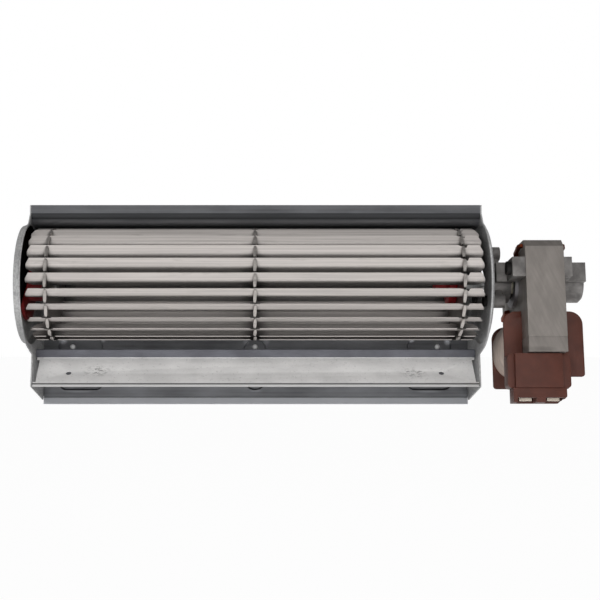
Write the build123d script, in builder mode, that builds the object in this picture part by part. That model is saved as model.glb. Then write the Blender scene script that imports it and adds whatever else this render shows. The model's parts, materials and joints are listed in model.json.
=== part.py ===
from build123d import *
import os
from math import atan2, cos, degrees, hypot, radians, sin, sqrt

os.makedirs("parts", exist_ok=True)

# The part is a cross flow fan. X runs along the impeller with the motor at +X, the air inlet
# faces -Y and the outlet is at the bottom. The origin is the middle hole of the rear pads.

# Impeller
wheel_radius = 30.0
blade_depth = 6.3
blade_count = 23
blade_length = 238.8
blade_thickness = 0.45
blade_exit_angle = 30.0
blade_entry_angle = 67.0
blade_first_angle = -4.5
outer_corner_length = 1.8
outer_corner_depth = 1.4
inner_corner_length = 3.3
inner_corner_depth = 3.5
disc_thickness = 1.2
disc_rim = 0.3
disc_slot_gap = 0.05
blade_overhang = 10.4
middle_bore_radius = 6.0

# Housing, folded from one gauge of sheet
sheet = 0.8
left_end_gap = 1.8
right_end_gap = 2.6
scroll_gap = 3.0
scroll_shift = (2.5, -1.0)
mouth_radius = 6.6
lip_front = -2.0
lip_height = 4.5
outlet_depth = 34.0
wall_lip = 4.2
wall_lip_angle = 20.0
wall_bend = 1.5

# Pads pressed rearwards in the back wall
pad_depth = 2.0
pad_taper = 20.0
pad_height = 31.0
outer_pad_width = 27.0
outer_pad_corner = 5.0
outer_pad_offset = 100.0
centre_pad_width = 15.0
rear_hole_pitch = 105.0
rear_hole_diameter = 3.2
rear_hole_drop = 5.4

# Tongue bracket under the impeller
tongue_gap = 5.9
tongue_back = 12.9
tongue_nose_height = 4.7
tongue_nose_lean = 1.1
tongue_plate_depth = 14.4
tongue_plate_drop = 12.8
tongue_lip = 2.1
tongue_hole_pitch = 204.0
tongue_hole_diameter = 3.0
tongue_hole_share = 0.6
tongue_short = 0.4
tongue_plate_cut = 1.6
tongue_tab_width = 3.4

# End plates
dish_gap = 2.2
left_dish_depth = 3.1
right_dish_depth = 1.0
dish_rim = 1.2
dish_draft = 1.0
plate_front_edge = [(-10.0, 1.0), (-5.7, 5.5), (2.0, 8.0)]
plate_bottom_drop = 1.7
plate_bottom_corner = 5.0
plate_top_land = 4.0
plate_shoulder_angle = 103.0
plate_margin = 1.5
tab_width = 8.0
tab_proud = 0.9
tab_gap = 0.2

# Left bearing
stub_diameter = 5.0
stub_length = 12.8
stub_collar_radius = 6.0
stub_collar_thickness = 1.5
stub_head_radius = 4.0
stub_head_thickness = 1.2
running_gap = 0.03
left_bush_radius = 5.5
left_bush_length = 8.0
holder_disc_radius = 19.5
holder_disc_thickness = 1.8
holder_hub_radius = 9.0
holder_plug_radius = 11.0
seat_gap = 0.05

# Right hub and shaft
shaft_diameter = 6.0
hub_flange_radius = 11.0
hub_flange_thickness = 4.4
hub_neck_radius = 7.0
hub_bead_radius = 8.5
hub_bead_thickness = 1.2
hub_sleeve_radius = 5.5
hub_sleeve_length = 6.9
right_opening_radius = 8.0

# Motor, tilted about the shaft
motor_tilt = 10.0
stack_standoff = 16.7
stack_length = 20.0
stack_width = 60.0
stack_top = 18.8
stack_chamfer = 4.0
stack_shoulder = 22.0
stack_bridge = 1.4
side_limb_width = 14.0
window_top = -19.0
window_height = 13.6
limb_height = 8.0
rotor_radius = 13.0
air_gap = 0.3
end_ring_thickness = 1.8
end_ring_outer = 12.6
end_ring_inner = 8.0

# Bearing brackets and their screws
bar_width = 10.3
bar_centre = 4.0
bar_short = 0.5
foot_thickness = 6.8
rear_foot_thickness = 4.2
bridge_half = 15.0
bridge_thickness = 8.8
rear_bridge_thickness = 11.8
bridge_gap = 3.4
relief_half = 13.4
boss_radius = 10.0
boss_proud = 0.6
boss_chamfer = 1.5
motor_bush_radius = 6.0
motor_bush_length = 8.0
bush_recess = 0.2
bearing_end_play = 0.4
spacer_radius = 5.0
shaft_inset = 1.0
shaft_beyond_bush = 0.5
shaft_chamfer = 0.5
boss_relief_radius = 4.0
boss_relief_depth = 1.2
screw_inset = 5.0
screw_diameter = 4.0
screw_gap = 0.1
screw_head_radius = 3.5
screw_head_height = 2.4
screw_short = 0.4
mount_arm_width = 5.4
mount_arm_thickness = 3.4
mount_circle_radius = 16.6
mount_boss_radius = 3.7
mount_boss_length = 8.6
mount_first_angle = 92.7
mount_screw_diameter = 3.0
mount_screw_depth = 6.5
mount_head_radius = 2.9
mount_head_height = 1.8

# Coil former, coil and terminals
flange_thickness = 1.4
flange_gap = 0.1
flange_left = 9.8
flange_right = 12.0
flange_top = 1.6
rear_flange_drop = 4.0
front_flange_bottom = -52.0
rear_flange_bottom = -55.5
flange_top_corner = 7.0
flange_bottom_corner = 1.7
flange_shoulder = 10.0
former_wall = 1.2
former_gap = 0.2
coil_side_build = 8.1
coil_top_build = 11.4
coil_bottom_build = 9.0
coil_corner = 13.0
tape_thickness = 0.5
housing_left = 10.3
housing_right = 2.2
housing_depth = 9.0
housing_top_gap = 0.5
housing_height = 17.7
housing_corner = 2.0
panel_left = 6.9
panel_right = 2.6
panel_proud = 3.0
shroud_height = 7.5
shroud_setback = 1.0
shroud_left = 8.1
shroud_right = 0.7
shroud_chamfer = 3.0
shroud_cavity_width = 8.4
shroud_cavity_depth = 5.0
shroud_notch_width = 9.6
shroud_notch_height = 2.4
terminal_width = 6.3
terminal_thickness = 0.8
terminal_insert = 8.0
terminal_recess = 1.0
terminal_spacing = 14.3
ring_wire = 1.8
ring_wire_gap = 0.1
ring_proud = 2.6
ring_corner = 2.2
ring_near_height = 13.2
ring_far_height = 16.0
ring_near_inset = 17.0
ring_far_inset = 6.0

# Places worked out from the sizes above
wheel_inner_radius = wheel_radius - blade_depth
AXIS_Y = -(scroll_shift[0] + wheel_radius + scroll_gap + sheet + pad_depth)
AXIS_Z = wheel_radius + rear_hole_drop
wheel_axis = Axis((0, AXIS_Y, AXIS_Z), (1, 0, 0))
axis_plane = Plane(origin=(0, AXIS_Y, AXIS_Z), x_dir=(1, 0, 0), z_dir=(0, -1, 0))
scroll_radius = wheel_radius + scroll_gap
left_plate_inner = blade_length / 2 + left_end_gap
right_plate_inner = blade_length / 2 + right_end_gap
inner_width = left_plate_inner + right_plate_inner
tab_reach = sheet + tab_proud
left_dish_inner = left_plate_inner + left_dish_depth
left_dish_outer = left_dish_inner + sheet
right_dish_inner = right_plate_inner + right_dish_depth
right_dish_outer = right_dish_inner + sheet
dish_radius = wheel_radius + dish_gap
disc_radius = wheel_radius + disc_rim
disc_centre = blade_length / 2 - blade_overhang
disc_inner_face = disc_centre - disc_thickness / 2
disc_outer_face = disc_centre + disc_thickness / 2
wall_y = scroll_shift[0] + scroll_radius
wall_bottom = -wheel_radius - outlet_depth
stack_start = right_dish_outer + stack_standoff
stack_end = stack_start + stack_length
stack_middle = (stack_start + stack_end) / 2
window_half = stack_width / 2 - side_limb_width
limb_top = window_top - window_height
limb_bottom = limb_top - limb_height
flange_outer = window_half - flange_gap
flange_inner = flange_outer - flange_thickness
foot_face = stack_start - foot_thickness
rear_foot_face = stack_end + rear_foot_thickness
bar_half_length = stack_width / 2 - bar_short
bridge_back = stack_start - bridge_gap
bridge_front = bridge_back - bridge_thickness
rear_bridge_front = stack_end + bridge_gap
rear_bridge_back = rear_bridge_front + rear_bridge_thickness
rear_boss_end = rear_bridge_back + boss_proud


def across(x, tilt=0.0):
    """Plane square to the shaft at x, with rearwards and up as its axes, tilted for the motor."""
    lean = radians(tilt)
    return Plane(origin=(x, AXIS_Y, AXIS_Z), x_dir=(0, cos(lean), -sin(lean)), z_dir=(1, 0, 0))


def motor_front(depth):
    """Plane that faces the front of the motor, depth behind the shaft, with X and up as axes."""
    lean = radians(motor_tilt)
    origin = (0, AXIS_Y + depth * cos(lean), AXIS_Z - depth * sin(lean))
    return Plane(origin=origin, x_dir=(1, 0, 0), z_dir=(0, -cos(lean), sin(lean)))


def motor_above(height):
    """Plane that looks down the motor, height above the shaft, with rearwards and X as axes."""
    lean = radians(motor_tilt)
    origin = (0, AXIS_Y + height * sin(lean), AXIS_Z + height * cos(lean))
    return Plane(origin=origin, x_dir=(0, cos(lean), -sin(lean)), z_dir=(0, -sin(lean), -cos(lean)))


def polar(radius, angle):
    """Point of a section square to the shaft: 0 degrees is rearwards and 90 is the top."""
    return (radius * cos(radians(angle)), radius * sin(radians(angle)))


def finish(piece, name):
    """Names a finished piece and writes its file."""
    piece.part.label = name
    export_step(piece.part, f"parts/{name}.step")


# Blade section: one arc that meets its inner and outer circles at the entry and exit angles
exit_radius = wheel_radius * cos(radians(blade_exit_angle))
entry_radius = wheel_inner_radius * cos(radians(blade_entry_angle))
blade_arc = (wheel_radius**2 - wheel_inner_radius**2) / 2 / (exit_radius - entry_radius)


def arc_lead(radius, edge_angle):
    """Turn in degrees from the arc's centre to the blade's edge at a radius."""
    inward = blade_arc * cos(radians(edge_angle))
    sideways = blade_arc * sin(radians(edge_angle))
    return degrees(atan2(sideways, radius - inward))


inner_lead = arc_lead(wheel_inner_radius, blade_entry_angle)
outer_lead = arc_lead(wheel_radius, blade_exit_angle)
arc_centre_radius = sqrt(wheel_radius**2 + blade_arc**2 - 2 * exit_radius * blade_arc)


def blade_section(thickness, inner_extra=0.0, outer_extra=0.0):
    """One blade's section, or its slot, with the extra lengths along the arc in millimetres."""
    angle = 180 - blade_first_angle - outer_lead
    centre = polar(arc_centre_radius, angle)
    outer_edge = polar(wheel_radius, angle + outer_lead)
    inner_edge = polar(wheel_inner_radius, angle + inner_lead)
    start = degrees(atan2(outer_edge[1] - centre[1], outer_edge[0] - centre[0]))
    sweep = degrees(atan2(inner_edge[1] - centre[1], inner_edge[0] - centre[0])) - start
    sweep = (sweep + 180) % 360 - 180
    step = degrees(1 / blade_arc) * (1 if sweep > 0 else -1)
    start -= outer_extra * step
    sweep += (outer_extra + inner_extra) * step
    with BuildSketch() as section:
        with BuildLine():
            hollow = CenterArc(centre, blade_arc - thickness / 2, start, sweep)
            crown = CenterArc(centre, blade_arc + thickness / 2, start, sweep)
            Line(hollow @ 0, crown @ 0)
            Line(hollow @ 1, crown @ 1)
        make_face()
    return section.sketch


# Impeller blades: 23 curved strips with all their corners clipped
with BuildPart() as impeller_blades:
    with BuildSketch(across(-blade_length / 2)):
        with PolarLocations(0, blade_count):
            add(blade_section(blade_thickness))
    extrude(amount=blade_length)
    with BuildSketch(axis_plane):
        half = blade_length / 2
        shoulder = half - outer_corner_length
        heel = half - inner_corner_length
        outside = wheel_radius + blade_thickness
        inside = wheel_inner_radius - blade_thickness
        outer_corner = wheel_radius - outer_corner_depth
        inner_corner = wheel_inner_radius + inner_corner_depth
        Polygon(
            (-heel, inside), (heel, inside), (heel, wheel_inner_radius), (half, inner_corner),
            (half, outer_corner), (shoulder, wheel_radius), (shoulder, outside),
            (-shoulder, outside), (-shoulder, wheel_radius), (-half, outer_corner),
            (-half, inner_corner), (-heel, wheel_inner_radius),
            align=None,
        )
    revolve(axis=wheel_axis, mode=Mode.INTERSECT)
finish(impeller_blades, "impeller_blades")


def impeller_disc(x, bore_radius):
    """One disc, slotted from its rim for the blades."""
    with BuildPart() as disc:
        with BuildSketch(across(x - disc_thickness / 2)):
            Circle(disc_radius)
            Circle(bore_radius, mode=Mode.SUBTRACT)
        extrude(amount=disc_thickness)
        with BuildSketch(across(x - disc_thickness / 2)):
            with PolarLocations(0, blade_count):
                add(blade_section(blade_thickness + 2 * disc_slot_gap, disc_slot_gap, 4 * disc_rim))
        extrude(amount=disc_thickness, mode=Mode.SUBTRACT)
    return disc


impeller_disc_left = impeller_disc(-disc_centre, stub_diameter / 2 + running_gap)
finish(impeller_disc_left, "impeller_disc_left")
impeller_disc_middle = impeller_disc(0, middle_bore_radius)
finish(impeller_disc_middle, "impeller_disc_middle")
impeller_disc_right = impeller_disc(disc_centre, hub_neck_radius + running_gap)
finish(impeller_disc_right, "impeller_disc_right")

# Left stub shaft: riveted through the left disc, with a collar outside it
collar_face = disc_outer_face + stub_collar_thickness
stub_end = collar_face + stub_length - stub_collar_thickness
with BuildPart() as stub_shaft:
    with BuildSketch(axis_plane):
        Polygon(
            (-disc_inner_face + stub_head_thickness, 0), (-disc_inner_face + stub_head_thickness, stub_head_radius),
            (-disc_inner_face, stub_head_radius), (-disc_inner_face, stub_diameter / 2),
            (-disc_outer_face, stub_diameter / 2), (-disc_outer_face, stub_collar_radius),
            (-collar_face, stub_collar_radius), (-collar_face, stub_diameter / 2),
            (-stub_end, stub_diameter / 2), (-stub_end, 0),
            align=None,
        )
    revolve(axis=wheel_axis)
finish(stub_shaft, "stub_shaft")

# Left bearing: a sintered bush in a soft holder that plugs the left dish
bush_end = stub_end + seat_gap
bush_start = bush_end - left_bush_length
with BuildPart() as left_bush:
    with BuildSketch(across(-bush_end)):
        Circle(left_bush_radius)
        Circle(stub_diameter / 2 + running_gap, mode=Mode.SUBTRACT)
    extrude(amount=left_bush_length)
finish(left_bush, "left_bush")

holder_bore = left_bush_radius + seat_gap
with BuildPart() as left_bearing_holder:
    with BuildSketch(axis_plane):
        Polygon(
            (-left_dish_outer, 0), (-left_dish_outer, holder_plug_radius), (-left_dish_inner, holder_plug_radius),
            (-left_dish_inner, holder_disc_radius), (-left_dish_inner + holder_disc_thickness, holder_disc_radius),
            (-left_dish_inner + holder_disc_thickness, holder_hub_radius), (-bush_start, holder_hub_radius),
            (-bush_start, holder_bore), (-bush_end, holder_bore), (-bush_end, 0),
            align=None,
        )
    revolve(axis=wheel_axis)
finish(left_bearing_holder, "left_bearing_holder")

# Scroll housing: lip, rolled mouth, scroll and back wall in one folded sheet
mouth_centre_y = lip_front + mouth_radius
mouth_reach = scroll_radius + mouth_radius
mouth_centre_z = scroll_shift[1] + sqrt(mouth_reach**2 - (mouth_centre_y - scroll_shift[0]) ** 2)
mouth_angle = degrees(atan2(mouth_centre_z - scroll_shift[1], mouth_centre_y - scroll_shift[0]))
lip_top = mouth_centre_z + lip_height
wall_lip_y = wall_y - wall_lip * sin(radians(wall_lip_angle))
wall_lip_z = wall_bottom - wall_lip * cos(radians(wall_lip_angle))
pad_centre = -wheel_radius - pad_height / 2
pad_plane = Plane(origin=(0, AXIS_Y + wall_y, AXIS_Z + pad_centre), x_dir=(-1, 0, 0), z_dir=(0, 1, 0))
rear_hole_z = -wheel_radius - rear_hole_drop
outer_pads = [(-outer_pad_offset, 0), (outer_pad_offset, 0)]
rear_holes = [(-rear_hole_pitch, 0), (0, 0), (rear_hole_pitch, 0)]
sheet_middle = scroll_radius + sheet / 2


def scroll_place(angle):
    """Place on the middle of the scroll's sheet at an angle, turned along the sheet."""
    y, z = polar(sheet_middle, angle)
    return Location((scroll_shift[0] + y, scroll_shift[1] + z, 0), (0, 0, angle + 90))


tab_places = [scroll_place(50), scroll_place(10)] + [
    Location((wall_y + sheet / 2, wall_bottom * share, 0), (0, 0, 90)) for share in (0.3, 0.8)
]

with BuildPart() as scroll_housing:
    with BuildSketch(across(-left_plate_inner)):
        with BuildLine():
            front_lip = Line((lip_front, lip_top), (lip_front, mouth_centre_z))
            CenterArc((mouth_centre_y, mouth_centre_z), mouth_radius, 180, mouth_angle)
            CenterArc(scroll_shift, scroll_radius, mouth_angle, -mouth_angle)
            FilletPolyline(
                (wall_y, scroll_shift[1]), (wall_y, wall_bottom), (wall_lip_y, wall_lip_z),
                radius=wall_bend,
            )
            offset(amount=sheet, side=Side.LEFT)
        make_face()
    extrude(amount=inner_width)
    for end, direction in ((right_plate_inner, 1), (-left_plate_inner, -1)):
        with BuildSketch(across(end)):
            with Locations(*tab_places):
                Rectangle(tab_width, sheet)
        extrude(amount=direction * tab_reach)
    with BuildSketch(pad_plane.offset(sheet)):
        with Locations(*outer_pads):
            RectangleRounded(outer_pad_width, pad_height, outer_pad_corner)
        SlotOverall(pad_height, centre_pad_width, rotation=90)
    extrude(amount=pad_depth, taper=pad_taper)
    with BuildSketch(pad_plane):
        with Locations(*outer_pads):
            RectangleRounded(outer_pad_width - 2 * sheet, pad_height - 2 * sheet, outer_pad_corner - sheet)
        SlotOverall(pad_height - 2 * sheet, centre_pad_width - 2 * sheet, rotation=90)
    extrude(amount=pad_depth, taper=pad_taper, mode=Mode.SUBTRACT)
    with BuildSketch(pad_plane):
        with Locations((0, rear_hole_z - pad_centre)):
            with Locations(*rear_holes):
                Circle(rear_hole_diameter / 2)
    extrude(amount=sheet + pad_depth, mode=Mode.SUBTRACT)
finish(scroll_housing, "scroll_housing")

# Tongue bracket: nose flange, a shorter inclined plate with two holes, and a lower lip
tongue_top = -wheel_radius - tongue_gap
tongue_bend_z = tongue_top - tongue_nose_height
tongue_foot = (tongue_back - tongue_plate_depth, tongue_bend_z - tongue_plate_drop)
plate_run = hypot(tongue_plate_depth, tongue_plate_drop)
tongue_length = inner_width - 2 * tongue_short
tongue_hole_y = tongue_back - tongue_hole_share * tongue_plate_depth
tongue_hole_z = tongue_bend_z - tongue_hole_share * tongue_plate_drop
tongue_face = Plane(
    origin=(0, AXIS_Y + tongue_hole_y, AXIS_Z + tongue_hole_z),
    x_dir=(1, 0, 0),
    z_dir=(0, -tongue_plate_drop, tongue_plate_depth),
)
nose_slope = degrees(atan2(-tongue_nose_height, tongue_nose_lean))
nose_middle = Location(
    (tongue_back - tongue_nose_lean / 2, (tongue_top + tongue_bend_z) / 2, 0), (0, 0, nose_slope)
)
tongue_tab_place = nose_middle * Location((0, sheet / 2, 0))
with BuildPart() as tongue_bracket:
    with BuildSketch(across(tongue_short - left_plate_inner)):
        with BuildLine():
            Polyline(
                (tongue_back - tongue_nose_lean, tongue_top), (tongue_back, tongue_bend_z),
                tongue_foot, (tongue_foot[0], tongue_foot[1] - tongue_lip),
            )
            offset(amount=sheet, side=Side.LEFT)
        make_face()
    extrude(amount=tongue_length)
    with BuildSketch(across(-left_plate_inner - tab_reach)):
        with Locations(tongue_tab_place):
            Rectangle(tongue_tab_width, sheet)
    extrude(amount=inner_width + 2 * tab_reach)
    with BuildSketch(tongue_face):
        with GridLocations(tongue_hole_pitch, 1, 2, 1):
            Circle(tongue_hole_diameter / 2)
        plate_middle = (right_plate_inner - left_plate_inner) / 2
        with Locations((plate_middle, (tongue_hole_share - 0.5) * plate_run)):
            with GridLocations(tongue_length, 1, 2, 1):
                Rectangle(2 * tongue_plate_cut, plate_run - 2 * sheet)
    extrude(amount=sheet, both=True, mode=Mode.SUBTRACT)
finish(tongue_bracket, "tongue_bracket")


def end_plate(side, plate_inner, dish_inner, opening):
    """End plate with its drawn dish, on the motor's side for 1 and the far side for -1."""
    skirt = dish_radius + dish_rim
    back = wall_y + sheet + plate_margin
    outline = [(0, 0)]
    outline += [(y, -wheel_radius - drop) for y, drop in plate_front_edge]
    outline += [
        (tongue_foot[0], tongue_foot[1] - tongue_lip),
        (wall_lip_y, wall_bottom - plate_bottom_drop),
        (back, wall_bottom - plate_bottom_drop + plate_bottom_corner),
        (back, scroll_shift[1]),
    ]
    crown = polar(scroll_radius + sheet + plate_margin, 45)
    with BuildPart() as plate:
        with BuildSketch(across(side * plate_inner)):
            Circle(skirt)
            with Locations(scroll_shift):
                Circle(scroll_radius + sheet + plate_margin)
            Polygon(*outline, align=None)
            Polygon(
                (0, 0), polar(skirt, plate_shoulder_angle), (lip_front, mouth_centre_z),
                (lip_front, lip_top), (lip_front + plate_top_land, lip_top),
                (scroll_shift[0] + crown[0], scroll_shift[1] + crown[1]),
                align=None,
            )
            Circle(skirt, mode=Mode.SUBTRACT)
            with Locations(*tab_places):
                Rectangle(tab_width + 2 * tab_gap, sheet + 4 * tab_gap, mode=Mode.SUBTRACT)
            with Locations(tongue_tab_place):
                Rectangle(tongue_tab_width + 2 * tab_gap, sheet + 4 * tab_gap, mode=Mode.SUBTRACT)
        extrude(amount=side * sheet)
        with BuildSketch(axis_plane):
            with BuildLine():
                Polyline(
                    (side * plate_inner, skirt), (side * plate_inner, dish_radius),
                    (side * dish_inner, dish_radius - dish_draft), (side * dish_inner, opening),
                )
                outside = Side.LEFT if side > 0 else Side.RIGHT
                offset(amount=sheet, side=outside, kind=Kind.INTERSECTION)
            make_face()
        revolve(axis=wheel_axis)
        if side > 0:
            with BuildSketch(across(dish_inner)):
                with PolarLocations(mount_circle_radius, 3, start_angle=mount_first_angle):
                    Circle(mount_screw_diameter / 2 + screw_gap)
            extrude(amount=sheet, mode=Mode.SUBTRACT)
    return plate


end_plate_left = end_plate(-1, left_plate_inner, left_dish_inner, holder_plug_radius + seat_gap)
finish(end_plate_left, "end_plate_left")
end_plate_right = end_plate(1, right_plate_inner, right_dish_inner, right_opening_radius)
finish(end_plate_right, "end_plate_right")

# Right hub: soft, clipped through the right disc and pushed on the motor shaft
hub_face = disc_inner_face - hub_flange_thickness
hub_start = hub_face - hub_sleeve_length
hub_end = disc_outer_face + hub_bead_thickness
shaft_bore = shaft_diameter / 2 + running_gap
with BuildPart() as impeller_hub:
    with BuildSketch(axis_plane):
        Polygon(
            (hub_start, shaft_bore), (hub_start, hub_sleeve_radius), (hub_face, hub_sleeve_radius),
            (hub_face, hub_flange_radius), (disc_inner_face, hub_flange_radius),
            (disc_inner_face, hub_neck_radius), (disc_outer_face, hub_neck_radius),
            (disc_outer_face, hub_bead_radius), (hub_end, hub_bead_radius), (hub_end, shaft_bore),
            align=None,
        )
    revolve(axis=wheel_axis)
finish(impeller_hub, "impeller_hub")

# Motor shaft, through the rotor and both bushes
front_bush_end = bridge_back - bush_recess
rear_bush_start = rear_bridge_front + bush_recess
rear_bush_end = rear_bush_start + motor_bush_length
shaft_start = hub_start + shaft_inset
shaft_end = rear_bush_end + shaft_beyond_bush
with BuildPart() as motor_shaft:
    with BuildSketch(across(shaft_start)):
        Circle(shaft_diameter / 2)
    extrude(amount=shaft_end - shaft_start)
    chamfer(motor_shaft.edges().filter_by(GeomType.CIRCLE), shaft_chamfer)
finish(motor_shaft, "motor_shaft")

# Rotor: laminated core with cast end rings, and a spacer bush at each side
with BuildPart() as rotor_core:
    with BuildSketch(across(stack_start)):
        Circle(rotor_radius)
        Circle(shaft_bore, mode=Mode.SUBTRACT)
    extrude(amount=stack_length)
finish(rotor_core, "rotor_core")

with BuildPart() as rotor_end_rings:
    for x in (stack_start - end_ring_thickness, stack_end):
        with BuildSketch(across(x)):
            Circle(end_ring_outer)
            Circle(end_ring_inner, mode=Mode.SUBTRACT)
        extrude(amount=end_ring_thickness)
finish(rotor_end_rings, "rotor_end_rings")

with BuildPart() as rotor_spacers:
    front_spacer = front_bush_end + bearing_end_play
    rear_spacer = rear_bush_start - bearing_end_play
    for x, length in ((front_spacer, stack_start - front_spacer), (stack_end, rear_spacer - stack_end)):
        with BuildSketch(across(x)):
            Circle(spacer_radius)
            Circle(shaft_bore, mode=Mode.SUBTRACT)
        extrude(amount=length)
finish(rotor_spacers, "rotor_spacers")

# Motor bushes, in the bearing brackets
with BuildPart() as front_bush:
    with BuildSketch(across(front_bush_end - motor_bush_length)):
        Circle(motor_bush_radius)
        Circle(shaft_bore, mode=Mode.SUBTRACT)
    extrude(amount=motor_bush_length)
finish(front_bush, "front_bush")

with BuildPart() as rear_bush:
    with BuildSketch(across(rear_bush_start)):
        Circle(motor_bush_radius)
        Circle(shaft_bore, mode=Mode.SUBTRACT)
    extrude(amount=motor_bush_length)
finish(rear_bush, "rear_bush")

# Stator: C-shaped stack, higher over its front pole, and the limb that closes it in the coil
screw_spacing = stack_width - 2 * screw_inset
screw_places = [(-screw_spacing / 2, bar_centre), (screw_spacing / 2, bar_centre)]
screw_hole_radius = screw_diameter / 2 + screw_gap
bridge_top = rotor_radius + air_gap + stack_bridge
ring_near = (-stack_width / 2 + ring_near_inset, ring_near_height)
ring_far = (-stack_width / 2 + ring_far_inset, ring_far_height)
ring_run = (ring_far[0] - ring_near[0], ring_far[1] - ring_near[1])
ring_slope = degrees(atan2(ring_run[1], ring_run[0]))
with BuildPart() as stator_core:
    with BuildSketch(across(stack_start, motor_tilt)):
        half = stack_width / 2
        Polygon(
            (-half, limb_top), (-half, stack_top - stack_chamfer), (-half + stack_chamfer, stack_top),
            (-half + stack_shoulder, stack_top), (-half + stack_shoulder + stack_chamfer, bridge_top),
            (half - stack_chamfer, bridge_top), (half, bridge_top - stack_chamfer), (half, limb_top),
            (window_half, limb_top), (window_half, window_top),
            (-window_half, window_top), (-window_half, limb_top),
            align=None,
        )
        Circle(rotor_radius + air_gap, mode=Mode.SUBTRACT)
        with Locations(*screw_places):
            Circle(screw_hole_radius, mode=Mode.SUBTRACT)
        for side in (1, -1):
            with Locations(*[(side * y, side * z) for y, z in (ring_near, ring_far)]):
                slot = ring_wire + 2 * ring_wire_gap
                Rectangle(slot, slot, rotation=ring_slope, mode=Mode.SUBTRACT)
    extrude(amount=stack_length)
finish(stator_core, "stator_core")

with BuildPart() as stator_limb:
    with BuildSketch(across(stack_start, motor_tilt)):
        with Locations((0, limb_top - limb_height / 2)):
            Rectangle(stack_width, limb_height)
    extrude(amount=stack_length)
finish(stator_limb, "stator_limb")


def motor_point(depth, height):
    """Point at the middle of the stack, from its depth and height in the motor's own axes."""
    lean = radians(motor_tilt)
    y = AXIS_Y + depth * cos(lean) + height * sin(lean)
    z = AXIS_Z - depth * sin(lean) + height * cos(lean)
    return (stack_middle, y, z)


# Shading rings: a closed loop of copper through each pole
ring_width = hypot(*ring_run) + ring_wire
ring_length = stack_length + 2 * ring_proud
ring_across = Vector(*motor_point(*ring_far)) - Vector(*motor_point(*ring_near))
ring_normal = Vector(1, 0, 0).cross(ring_across)
with BuildPart() as shading_rings:
    for side in (1, -1):
        middle = [side * (near + far) / 2 for near, far in zip(ring_near, ring_far)]
        with BuildSketch(Plane(origin=motor_point(*middle), x_dir=(1, 0, 0), z_dir=ring_normal)):
            RectangleRounded(ring_length, ring_width, ring_corner)
            Rectangle(ring_length - 2 * ring_wire, ring_width - 2 * ring_wire, mode=Mode.SUBTRACT)
        extrude(amount=ring_wire / 2, both=True)
finish(shading_rings, "shading_rings")

# Front bearing bracket: a stepped bar on two feet, the bush's boss and three arms with lugs
with BuildPart() as front_bearing_bracket:
    with BuildSketch(motor_above(bar_centre + bar_width / 2)):
        with BuildLine():
            Polyline(
                (0, bridge_front), (bridge_half, bridge_front), (bridge_half, foot_face),
                (bar_half_length, foot_face), (bar_half_length, stack_start),
                (relief_half, stack_start), (relief_half, bridge_back), (0, bridge_back),
            )
            mirror(about=Plane.YZ)
        make_face()
    extrude(amount=bar_width)
    with BuildSketch(across(bridge_front - boss_proud)):
        Circle(boss_radius)
    extrude(amount=bridge_back - bridge_front + boss_proud)
    with BuildSketch(across(bridge_front)):
        with PolarLocations(mount_circle_radius / 2, 3, start_angle=mount_first_angle):
            Rectangle(mount_circle_radius, mount_arm_width)
    extrude(amount=mount_arm_thickness)
    with BuildSketch(across(right_dish_outer)):
        with PolarLocations(mount_circle_radius, 3, start_angle=mount_first_angle):
            Circle(mount_boss_radius)
    extrude(amount=mount_boss_length)
    with BuildSketch(across(right_dish_outer)):
        Circle(motor_bush_radius + seat_gap)
        with PolarLocations(mount_circle_radius, 3, start_angle=mount_first_angle):
            Circle(mount_screw_diameter / 2 + seat_gap)
    extrude(amount=stack_start - right_dish_outer, mode=Mode.SUBTRACT)
    with BuildSketch(across(bridge_front, motor_tilt)):
        with Locations(*screw_places):
            Circle(screw_hole_radius)
    extrude(amount=stack_start - bridge_front, mode=Mode.SUBTRACT)
finish(front_bearing_bracket, "front_bearing_bracket")

# Rear bearing bracket: the same bar turned round, with a closed boss
with BuildPart() as rear_bearing_bracket:
    with BuildSketch(motor_above(bar_centre + bar_width / 2)):
        with BuildLine():
            Polyline(
                (0, rear_bridge_front), (relief_half, rear_bridge_front), (relief_half, stack_end),
                (bar_half_length, stack_end), (bar_half_length, rear_foot_face),
                (bridge_half, rear_foot_face), (bridge_half, rear_bridge_back), (0, rear_bridge_back),
            )
            mirror(about=Plane.YZ)
        make_face()
    extrude(amount=bar_width)
    with BuildSketch(axis_plane):
        Polygon(
            (rear_bridge_front, 0), (rear_bridge_front, boss_radius),
            (rear_boss_end - boss_chamfer, boss_radius), (rear_boss_end, boss_radius - boss_chamfer),
            (rear_boss_end, 0),
            align=None,
        )
    revolve(axis=wheel_axis)
    with BuildSketch(across(rear_bridge_front)):
        Circle(motor_bush_radius + seat_gap)
    extrude(amount=rear_bush_end - rear_bridge_front, mode=Mode.SUBTRACT)
    with BuildSketch(across(rear_bush_end)):
        Circle(boss_relief_radius)
    extrude(amount=boss_relief_depth, mode=Mode.SUBTRACT)
    with BuildSketch(across(stack_end, motor_tilt)):
        with Locations(*screw_places):
            Circle(screw_diameter / 2 + seat_gap)
    extrude(amount=rear_foot_face - stack_end, mode=Mode.SUBTRACT)
finish(rear_bearing_bracket, "rear_bearing_bracket")

# Long screws through the front bracket and the stack, tapped in the rear bracket
with BuildPart() as stator_screws:
    with BuildSketch(across(foot_face - screw_head_height, motor_tilt)):
        with Locations(*screw_places):
            Circle(screw_head_radius)
    extrude(amount=screw_head_height)
    with BuildSketch(across(foot_face, motor_tilt)):
        with Locations(*screw_places):
            Circle(screw_diameter / 2)
    extrude(amount=rear_foot_face - screw_short - foot_face)
finish(stator_screws, "stator_screws")

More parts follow.
